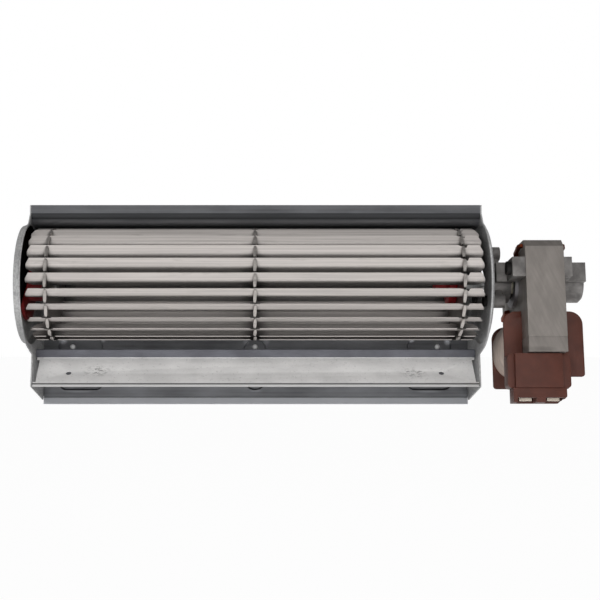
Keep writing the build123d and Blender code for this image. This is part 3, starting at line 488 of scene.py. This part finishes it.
def moulded_thermoset(colour):
    """Moulded thermoset: reddish brown, semi matt, faintly mottled by its filler."""
    material, tree, shader, place = new_material("thermoset_moulded", ior=1.5)
    mottle = cells(tree, place, (1.2, 1.2, 1.2), 4.0)
    cloud = cells(tree, place, (9.0, 9.0, 9.0), 2.0)
    tone = two_tones(tree, cloud, colour, 0.85, 1.12)
    speck = blend_colours(tree, spread(tree, mottle, 0.55, 0.75, 0.0, 0.3), tone, shade(colour, 1.6))
    tree.links.new(speck, shader.inputs["Base Color"])
    tree.links.new(spread(tree, mottle, 0.3, 0.7, 0.4, 0.56), shader.inputs["Roughness"])
    tree.links.new(bump(tree, mottle, 0.03, 0.35), shader.inputs["Normal"])
    return material


def glass_tape(colour):
    """Woven glass tape, varnished: pale, with the edges of its turns across the coil."""
    material, tree, shader, place = new_material("glass_tape_woven", roughness=0.55)
    weave = add_node(tree, "ShaderNodeTexWave", {
        "Vector": place, "Scale": 1 / (2.2 * MM), "Distortion": 0.6, "Detail": 1.0,
    }, bands_direction="DIAGONAL").outputs["Fac"]
    cloud = cells(tree, place, (8.0, 5.0, 8.0), 3.0)
    tone = two_tones(tree, cloud, colour, 0.8, 1.08)
    threads = blend_colours(tree, spread(tree, weave, 0.0, 1.0, 0.18, 0.0), tone, shade(colour, 0.6))
    tree.links.new(threads, shader.inputs["Base Color"])
    tree.links.new(bump(tree, weave, 0.06, 0.5), shader.inputs["Normal"])
    return material


def smooth_edges(mesh, angle):
    """Smooth shading with sharp edges above an angle."""
    mesh.shade_smooth()
    mesh.set_sharp_from_angle(angle=angle)


def settle(piece, body, material_slot, *nodes):
    """Puts a finished piece on its body and hides the nodes that it stands for."""
    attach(piece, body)
    if nodes:
        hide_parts(*nodes)


def to_plain_mesh(piece):
    """Applies a piece's modifiers and leaves it a plain mesh."""
    depsgraph = bpy.context.evaluated_depsgraph_get()
    mesh = bpy.data.meshes.new_from_object(piece.evaluated_get(depsgraph))
    piece.modifiers.clear()
    piece.data = mesh
    return piece


def new_piece(name, mesh):
    """Links a new object with this mesh."""
    piece = bpy.data.objects.new(name, mesh)
    bpy.context.scene.collection.objects.link(piece)
    return piece


def flat_sheet(name, corners):
    """A new object of one flat face with these corners."""
    mesh = bpy.data.meshes.new(name)
    mesh.from_pydata(corners, [], [tuple(range(len(corners)))])
    return new_piece(name, mesh)


def rounded_copy(node, edge):
    """A copy of a CAD node with its hard edges rounded."""
    flat_angle = radians(0.8)
    hard_angle = radians(32.0)
    mesh = frame["nodes"][node].data.copy()
    shape = bmesh.new()
    shape.from_mesh(mesh)
    bmesh.ops.remove_doubles(shape, verts=shape.verts, dist=1e-6)
    bmesh.ops.dissolve_limit(shape, angle_limit=flat_angle, verts=shape.verts, edges=shape.edges)
    shape.to_mesh(mesh)
    shape.free()
    if mesh.has_custom_normals:
        mesh.attributes.remove(mesh.attributes["custom_normal"])
    piece = new_piece(node + "_finished", mesh)
    rounding = piece.modifiers.new("rounding", "BEVEL")
    rounding.width = edge
    rounding.segments = 2
    rounding.limit_method = "ANGLE"
    rounding.angle_limit = hard_angle
    to_plain_mesh(piece)
    smooth_edges(piece.data, hard_angle)
    return piece


def dress(piece, material):
    """Gives a piece its one material."""
    piece.data.materials.clear()
    piece.data.materials.append(material)
    return piece


def new_tree(name, **inputs):
    """A geometry node tree with one geometry output and these named inputs, by kind of socket."""
    tree = bpy.data.node_groups.new(name, "GeometryNodeTree")
    tree.interface.new_socket("Geometry", in_out="OUTPUT", socket_type="NodeSocketGeometry")
    for label, kind in inputs.items():
        tree.interface.new_socket(label.capitalize(), in_out="INPUT", socket_type="NodeSocket" + kind)
    return tree, add_node(tree, "NodeGroupInput").outputs


def ring_of(tree, given, instance, material):
    """Ends a tree: copies of an instance round the shaft, evenly spaced, made real and given a material."""
    points = add_node(tree, "GeometryNodePoints", {"Count": given["Count"]})
    index = add_node(tree, "GeometryNodeInputIndex").outputs[0]
    step = calculate(tree, "DIVIDE", 2 * pi, given["Count"])
    angle = calculate(tree, "MULTIPLY_ADD", index, step, given["First"])
    arm = add_node(tree, "ShaderNodeCombineXYZ", {1: given["Radius"]}).outputs[0]
    swung = add_node(tree, "ShaderNodeVectorRotate", {"Vector": arm, "Angle": angle}, rotation_type="X_AXIS")
    spots = add_node(tree, "ShaderNodeVectorMath", {0: swung.outputs[0], 1: given["Place"]}, operation="ADD")
    ring = add_node(tree, "GeometryNodeSetPosition", {
        "Geometry": points.outputs[0], "Position": spots.outputs[0],
    })
    facing = add_node(tree, "ShaderNodeCombineXYZ", {0: angle})
    copies = add_node(tree, "GeometryNodeInstanceOnPoints", {
        "Points": ring.outputs[0], "Instance": instance, "Rotation": facing.outputs[0],
    })
    real = add_node(tree, "GeometryNodeRealizeInstances", {0: copies.outputs[0]})
    painted = add_node(tree, "GeometryNodeSetMaterial", {"Geometry": real.outputs[0], "Material": material})
    add_node(tree, "NodeGroupOutput", {0: painted.outputs[0]})
    return tree


def blade_wheel_tree(material):
    """Node tree: copies of the piece's own mesh round the shaft."""
    tree, given = new_tree(
        "blade_wheel", geometry="Geometry", radius="Float", place="Vector", count="Int", first="Float",
    )
    return ring_of(tree, given, given["Geometry"], material)


def crimped_rim_tree(material):
    """Node tree: twisted segments of rim, one between each two blades, round the shaft."""
    tree, given = new_tree(
        "crimped_rim", radius="Float", place="Vector", count="Int", first="Float", length="Float",
        width="Float", thickness="Float", twist="Float",
    )
    size = add_node(tree, "ShaderNodeCombineXYZ", {
        0: given["Thickness"], 1: given["Width"], 2: given["Length"],
    })
    bar = add_node(tree, "GeometryNodeMeshCube", {
        "Size": size.outputs[0], "Vertices X": 3, "Vertices Y": 4, "Vertices Z": 9,
    })
    spot = add_node(tree, "GeometryNodeInputPosition").outputs[0]
    along = add_node(tree, "ShaderNodeSeparateXYZ", {0: spot}).outputs[2]
    share = calculate(tree, "DIVIDE", along, given["Length"])
    turn = calculate(tree, "MULTIPLY", share, given["Twist"])
    twisted = add_node(tree, "ShaderNodeVectorRotate", {"Vector": spot, "Angle": turn}, rotation_type="Z_AXIS")
    square = calculate(tree, "MULTIPLY", share, share)
    taper = -1.4
    girth = calculate(tree, "MULTIPLY_ADD", square, taper, 1.0)
    factor = add_node(tree, "ShaderNodeCombineXYZ", {0: girth, 1: girth, 2: 1.0}).outputs[0]
    barrel = add_node(tree, "ShaderNodeVectorMath", {0: twisted.outputs[0], 1: factor}, operation="MULTIPLY")
    shaped = add_node(tree, "GeometryNodeSetPosition", {
        "Geometry": bar.outputs["Mesh"], "Position": barrel.outputs[0],
    })
    return ring_of(tree, given, shaped.outputs[0], material)


def blade_path(sizes, radius):
    """Points of a blade's section from its outer edge inwards, each with its way along the strip."""
    bend = sizes.inner_lean - sizes.outer_lean
    setback = sizes.fold_radius * tan(bend / 2)
    steps = 6
    spot, way = Vector((0.0, radius, 0.0)), 0.0
    path = [(spot.copy(), way)]

    def go(length, lean):
        nonlocal spot, way
        spot = spot + length * Vector((0.0, -sin(lean), cos(lean)))
        way += length
        path.append((spot.copy(), way))

    go(sizes.outer_flat - setback, sizes.outer_lean)
    for step in range(steps):
        go(sizes.fold_radius * bend / steps, sizes.outer_lean + bend * (step + 0.5) / steps)
    go(sizes.inner_flat - setback, sizes.inner_lean)
    return path


def folded_blade(sizes, half, radius, discs):
    """One blade at the rear of the wheel: an outline cut flat, folded along its length and thickened."""
    path = blade_path(sizes, radius)
    depth = path[-1][1]
    outer_along, outer_across = sizes.outer_clip
    inner_along, inner_across = sizes.inner_clip
    notch_width, notch_floor, notch_depth = sizes.notch
    outline = [(-half, outer_across), (outer_along - half, 0.0)]
    for disc in discs:
        outline += [
            (disc - notch_width / 2, 0.0), (disc - notch_floor / 2, notch_depth),
            (disc + notch_floor / 2, notch_depth), (disc + notch_width / 2, 0.0),
        ]
    outline += [
        (half - outer_along, 0.0), (half, outer_across), (half, depth - inner_across),
        (half - inner_along, depth), (inner_along - half, depth), (-half, depth - inner_across),
    ]
    shape = bmesh.new()
    shape.faces.new([shape.verts.new((x, way, 0.0)) for x, way in outline])
    bmesh.ops.triangulate(shape, faces=shape.faces)
    for _, way in path[1:-1]:
        bmesh.ops.bisect_plane(
            shape, geom=[*shape.verts, *shape.edges, *shape.faces], plane_co=(0.0, way, 0.0),
            plane_no=(0.0, 1.0, 0.0),
        )
    slack = 1e-9
    for vert in shape.verts:
        way = vert.co.y
        for (start, from_way), (end, to_way) in zip(path, path[1:]):
            if from_way - slack <= way <= to_way + slack:
                spot = start.lerp(end, (way - from_way) / (to_way - from_way))
                break
        vert.co = Vector((vert.co.x, spot.y, spot.z))
    bmesh.ops.triangulate(shape, faces=shape.faces)
    bmesh.ops.recalc_face_normals(shape, faces=shape.faces)
    mesh = bpy.data.meshes.new("blade")
    shape.to_mesh(mesh)
    shape.free()
    piece = new_piece("blade", mesh)
    gauge = piece.modifiers.new("gauge", "SOLIDIFY")
    gauge.thickness = sizes.blade_gauge
    gauge.offset = 0.0
    to_plain_mesh(piece)
    mesh = piece.data
    bpy.data.objects.remove(piece)
    smooth_edges(mesh, radians(35))
    return mesh


def flat_ring(name, inner, outer, low_x, high_x):
    """A plain ring square to the shaft."""
    segments = 144
    corners = [(low_x, inner), (low_x, outer), (high_x, outer), (high_x, inner)]
    verts = [
        (x, SHAFT.y + radius * cos(2 * pi * i / segments), SHAFT.z + radius * sin(2 * pi * i / segments))
        for i in range(segments) for x, radius in corners
    ]
    faces = [
        (4 * here + j, 4 * here + (j + 1) % 4, 4 * there + (j + 1) % 4, 4 * there + j)
        for here, there in ((i, (i + 1) % segments) for i in range(segments)) for j in range(4)
    ]
    mesh = bpy.data.meshes.new(name)
    mesh.from_pydata(verts, [], faces)
    return mesh


def grow(name, tree, mesh=None, **inputs):
    """A piece grown by a node tree, with the tree's named inputs set, left as a plain mesh."""
    piece = new_piece(name, mesh or bpy.data.meshes.new(name))
    modifier = piece.modifiers.new("grow", "NODES")
    modifier.node_group = tree
    sockets = {item.name: item.identifier for item in tree.interface.items_tree if item.in_out == "INPUT"}
    for key, value in inputs.items():
        modifier[sockets[key.capitalize()]] = value
    return to_plain_mesh(piece)


class FAN_OT_stage(bpy.types.Operator):
    """Sets the camera, the lamps, the white surroundings and the floor"""

    bl_idname = "fan.stage"
    bl_label = "Stage"

    def execute(self, context):
        scene = context.scene
        scene.view_settings.view_transform = "Standard"
        camera = bpy.data.objects.new("camera", bpy.data.cameras.new("camera"))
        scene.collection.objects.link(camera)
        camera.location = SHAFT + Vector((0.0, -630.0, -8.4)) * MM
        camera.rotation_euler = (radians(90), 0.0, 0.0)
        camera.data.lens = 69.54
        camera.data.sensor_width = 36.0
        camera.data.shift_x = 0.075
        scene.camera = camera
        for name, place, size, power in (
            ("front_softbox", (-0.1, -1.3, 0.4), (2.0, 0.9), 18.0),
            ("rear_softbox", (0.2, 1.0, 0.9), (1.4, 1.0), 3.0),
            ("sweep_bounce", (0.0, -0.5, -0.28), (1.6, 0.8), 1.2),
        ):
            lamp = bpy.data.lights.new(name, "AREA")
            lamp.shape = "RECTANGLE"
            lamp.size, lamp.size_y = size
            lamp.energy = power
            softbox = bpy.data.objects.new(name, lamp)
            scene.collection.objects.link(softbox)
            softbox.location = place
            softbox.visible_glossy = False
            softbox.rotation_euler = (SHAFT - Vector(place)).to_track_quat("-Z", "Y").to_euler()
        self.surroundings(scene)
        self.floor()
        self.contact_shadow()
        return {"FINISHED"}

    def surroundings(self, scene):
        """White to the camera. As a light it is a dim room, lighter below, with a pale card high in front."""
        world = bpy.data.worlds.new("studio")
        tree = empty_tree(world)
        scene.world = world
        direction = add_node(tree, "ShaderNodeTexCoord").outputs["Object"]
        parts = add_node(tree, "ShaderNodeSeparateXYZ", {0: direction}).outputs
        room = spread(tree, parts[2], -0.2, 0.5, 0.4, 0.16)
        ahead = spread(tree, parts[1], -0.8, -0.55, 1.0, 0.0)
        above = spread(tree, parts[2], 0.4, 0.5, 0.0, 0.9)
        card = calculate(tree, "MULTIPLY", ahead, above)
        strength = calculate(tree, "ADD", room, card)
        tent = add_node(tree, "ShaderNodeBackground", {"Color": WHITE, "Strength": strength})
        white = add_node(tree, "ShaderNodeBackground", {"Color": WHITE, "Strength": 1.0})
        ray = add_node(tree, "ShaderNodeLightPath").outputs["Is Camera Ray"]
        mix = add_node(tree, "ShaderNodeMixShader", {0: ray, 1: tent.outputs[0], 2: white.outputs[0]})
        add_node(tree, "ShaderNodeOutputWorld", {"Surface": mix.outputs[0]})

    def floor(self):
        """A wide pale floor well below the fan, which hangs from its mount."""
        reach = 6.0
        height = -0.3
        floor = flat_sheet("floor", [
            (-reach, -reach, height), (reach, -reach, height), (reach, reach, height), (-reach, reach, height),
        ])
        material = bpy.data.materials.new("paper_sweep_white")
        tree = empty_tree(material)
        ray = add_node(tree, "ShaderNodeLightPath").outputs
        straight = calculate(tree, "MULTIPLY", ray["Is Camera Ray"], 0.97)
        mirrored = calculate(tree, "MULTIPLY", ray["Is Glossy Ray"], 0.9)
        seen = calculate(tree, "MAXIMUM", straight, mirrored)
        paper = add_node(tree, "ShaderNodeBsdfDiffuse", {"Color": hex_colour("#F0F0F0")})
        glow = add_node(tree, "ShaderNodeEmission", {"Color": WHITE, "Strength": 1.0})
        mix = add_node(tree, "ShaderNodeMixShader", {0: seen, 1: paper.outputs[0], 2: glow.outputs[0]})
        add_node(tree, "ShaderNodeOutputMaterial", {"Surface": mix.outputs[0]})
        dress(floor, material)

    def contact_shadow(self):
        """The shadow on whatever the pads lie on: seen through the pads' holes and clear elsewhere."""
        side = 118.0 * MM
        back = 0.6 * MM
        foot = -30.0 * MM
        top = 70.0 * MM
        card = flat_sheet("contact_shadow", [
            (-side, back, foot), (side, back, foot), (side, back, top), (-side, back, top),
        ])
        card.visible_diffuse = card.visible_glossy = card.visible_transmission = card.visible_shadow = False
        material = bpy.data.materials.new("contact_shadow")
        tree = empty_tree(material)
        reach = {"Distance": 6.0 * MM}
        openness = add_node(tree, "ShaderNodeAmbientOcclusion", reach, samples=16).outputs["AO"]
        dim = calculate(tree, "POWER", openness, 2.2)
        behind = add_node(tree, "ShaderNodeNewGeometry").outputs["Backfacing"]
        clear = calculate(tree, "MAXIMUM", dim, behind)
        dark = add_node(tree, "ShaderNodeEmission", {"Strength": 0.0})
        bare = add_node(tree, "ShaderNodeBsdfTransparent", {"Color": WHITE})
        mix = add_node(tree, "ShaderNodeMixShader", {0: clear, 1: dark.outputs[0], 2: bare.outputs[0]})
        add_node(tree, "ShaderNodeOutputMaterial", {"Surface": mix.outputs[0]})
        dress(card, material)


class FAN_OT_finishes(bpy.types.Operator):
    """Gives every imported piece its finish"""

    bl_idname = "fan.finishes"
    bl_label = "Finishes"

    def execute(self, context):
        colours = context.scene.fan_colours
        sizes = context.scene.fan_sizes
        steel = turned("steel_bar_ground", hex_colour("#B8B8B8"))
        bronze = turned("bronze_sintered", hex_colour("#8C6D43"), 0.45)
        plated = turned("steel_zinc_plated_dull", hex_colour("#3E3D3C"), 0.55)
        ring = turned("aluminium_cast", hex_colour("#B4B2B6"), 0.42)
        copper = turned("copper_bare", tuple(colours.copper), 0.35)
        enamel = turned("copper_enamelled", hex_colour("#8A4A2C"), 0.3)
        tinned = turned("brass_tinned", hex_colour("#E4D8C8"), 0.3, 0.4)
        lip_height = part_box("scroll_housing")[0].z + sizes.wall_lip
        sheet = aluminised_sheet(tuple(colours.housing_sheet), lip_height)
        ends = spangled_sheet(tuple(colours.end_sheet))
        fold_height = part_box("tongue_bracket")[1].z - sizes.nose_height
        foot_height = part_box("tongue_bracket")[0].z + sizes.tongue_lip
        tongue = bright_sheet(
            tuple(colours.tongue_sheet), tuple(colours.nose_shade), fold_height, foot_height
        )
        blade = mill_strip(tuple(colours.blade_strip))
        low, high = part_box("impeller_disc_middle")
        disc = stamped_disc(
            tuple(colours.disc), sizes.blade_count, sizes.first_blade, (high.y - low.y) / 2
        )
        nylon = turned("nylon_turned", hex_colour("#C8C2B0"), 0.45, 0.0)
        red = moulded_silicone(tuple(colours.silicone))
        stack = lamination_stack(tuple(colours.lamination))
        zinc = cast_zinc(tuple(colours.zinc_casting))
        brown = moulded_thermoset(tuple(colours.thermoset))
        finishes = {
            "scroll_housing": sheet, "end_plate_left": ends, "end_plate_right": ends,
            "tongue_bracket": tongue,
            "impeller_blades": blade, "impeller_disc_left": disc, "impeller_disc_middle": disc,
            "impeller_disc_right": disc, "stub_shaft": steel, "motor_shaft": steel,
            "left_bush": bronze, "front_bush": bronze, "rear_bush": bronze,
            "left_bearing_holder": red, "impeller_hub": red,
            "rotor_core": stack, "stator_core": stack, "stator_limb": stack, "rotor_end_rings": ring,
            "rotor_spacers": nylon, "bobbin": brown, "terminal_shroud": brown,
            "coil_winding": enamel, "coil_tape": glass_tape(tuple(colours.tape)),
            "terminal_tabs": tinned, "shading_rings": copper,
            "front_bearing_bracket": zinc, "rear_bearing_bracket": zinc,
            "stator_screws": plated, "motor_mount_screws": plated,
        }
        missing = set(frame["nodes"]) - set(finishes)
        if missing:
            raise RuntimeError(f"no finish for {sorted(missing)}")
        for node, material in finishes.items():
            dress(frame["nodes"][node], material)
        return {"FINISHED"}


class FAN_OT_blades(bpy.types.Operator):
    """Folds one blade and sets its copies round the shaft"""

    bl_idname = "fan.blades"
    bl_label = "Blades"

    def execute(self, context):
        sizes = context.scene.fan_sizes
        low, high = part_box("impeller_blades")
        radius = SHAFT.y - low.y
        discs = []
        for side in ("left", "middle", "right"):
            near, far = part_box("impeller_disc_" + side)
            discs.append((near.x + far.x) / 2)
        tree = blade_wheel_tree(bpy.data.materials["aluminium_strip_rolled"])
        piece = grow(
            "folded_blades", tree, folded_blade(sizes, high.x, radius, discs),
            radius=0.0, place=(0.0, SHAFT.y, SHAFT.z), count=sizes.blade_count,
            first=pi - sizes.first_blade,
        )
        settle(piece, IMPELLER, "blade_aluminium", "impeller_blades")
        return {"FINISHED"}


class FAN_OT_crimped_rims(bpy.types.Operator):
    """Grows the crimped rims of the three discs"""

    bl_idname = "fan.crimped_rims"
    bl_label = "Crimped rims"

    def execute(self, context):
        sizes = context.scene.fan_sizes
        material = bpy.data.materials["aluminium_disc_stamped"]
        tree = crimped_rim_tree(material)
        proud = 0.1 * MM
        bores = {"left": sizes.end_bore, "middle": sizes.middle_bore, "right": sizes.end_bore}
        for side, bore in bores.items():
            node = "impeller_disc_" + side
            low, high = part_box(node)
            radius = (high.y - low.y) / 2
            face_radius = radius - sizes.rim_width / 2
            face = flat_ring("disc_face", bore, face_radius, low.x, high.x)
            plain = new_piece("disc_face_" + side, face)
            settle(dress(plain, material), IMPELLER, "disc_aluminium", node)
            pitch = 2 * pi * radius / sizes.blade_count
            piece = grow(
                "disc_rim_" + side, tree,
                radius=face_radius + proud,
                place=((low.x + high.x) / 2, SHAFT.y, SHAFT.z),
                count=sizes.blade_count,
                first=pi - sizes.first_blade + pi / sizes.blade_count,
                length=pitch - sizes.rim_gap,
                width=sizes.rim_width,
                thickness=sizes.rim_thickness,
                twist=sizes.rim_twist,
            )
            smooth_edges(piece.data, radians(40))
            settle(piece, IMPELLER, "disc_aluminium")
        return {"FINISHED"}


class FAN_OT_rounded_parts(bpy.types.Operator):
    """Rounds the edges of the moulded, cast and stamped motor parts"""

    bl_idname = "fan.rounded_parts"
    bl_label = "Rounded motor parts"

    def execute(self, context):
        sizes = context.scene.fan_sizes
        slots = {part["node"]: part["material_slot"] for part in frame["record"]["subparts"]}
        for node, edge, body in (
            ("end_plate_left", sizes.sheet_edge, HOUSING), ("end_plate_right", sizes.sheet_edge, HOUSING),
            ("tongue_bracket", sizes.sheet_edge, HOUSING),
            ("bobbin", sizes.moulded_edge, HOUSING), ("terminal_shroud", sizes.moulded_edge, HOUSING),
            ("front_bearing_bracket", sizes.cast_edge, HOUSING),
            ("rear_bearing_bracket", sizes.cast_edge, HOUSING),
            ("stator_core", sizes.stamped_edge, HOUSING), ("stator_limb", sizes.stamped_edge, HOUSING),
            ("impeller_hub", sizes.moulded_edge, IMPELLER),
        ):
            piece = rounded_copy(node, edge)
            dress(piece, frame["nodes"][node].data.materials[0])
            settle(piece, body, slots[node], node)
        return {"FINISHED"}


class FAN_PT_panel(bpy.types.Panel):
    """Lists the fan's sizes, colours and steps"""

    bl_label = "Cross flow fan"
    bl_idname = "FAN_PT_panel"
    bl_space_type = "VIEW_3D"
    bl_region_type = "UI"
    bl_category = "Fan"

    def draw(self, context):
        for group in (context.scene.fan_sizes, context.scene.fan_colours):
            for name in type(group).__annotations__:
                self.layout.prop(group, name)
        for step in STEPS:
            self.layout.operator(step.bl_idname)


STEPS = (FAN_OT_stage, FAN_OT_finishes, FAN_OT_blades, FAN_OT_crimped_rims, FAN_OT_rounded_parts)
CLASSES = (FanSizes, FanColours, *STEPS, FAN_PT_panel)


def register():
    for item in CLASSES:
        bpy.utils.register_class(item)
    bpy.types.Scene.fan_sizes = bpy.props.PointerProperty(type=FanSizes)
    bpy.types.Scene.fan_colours = bpy.props.PointerProperty(type=FanColours)


def unregister():
    del bpy.types.Scene.fan_colours
    del bpy.types.Scene.fan_sizes
    for item in reversed(CLASSES):
        bpy.utils.unregister_class(item)


def main():
    """Registers the classes and runs every step in order."""
    register()
    for step in STEPS:
        group, name = step.bl_idname.split(".")
        getattr(getattr(bpy.ops, group), name)()


if __name__ == "__main__":
    main()
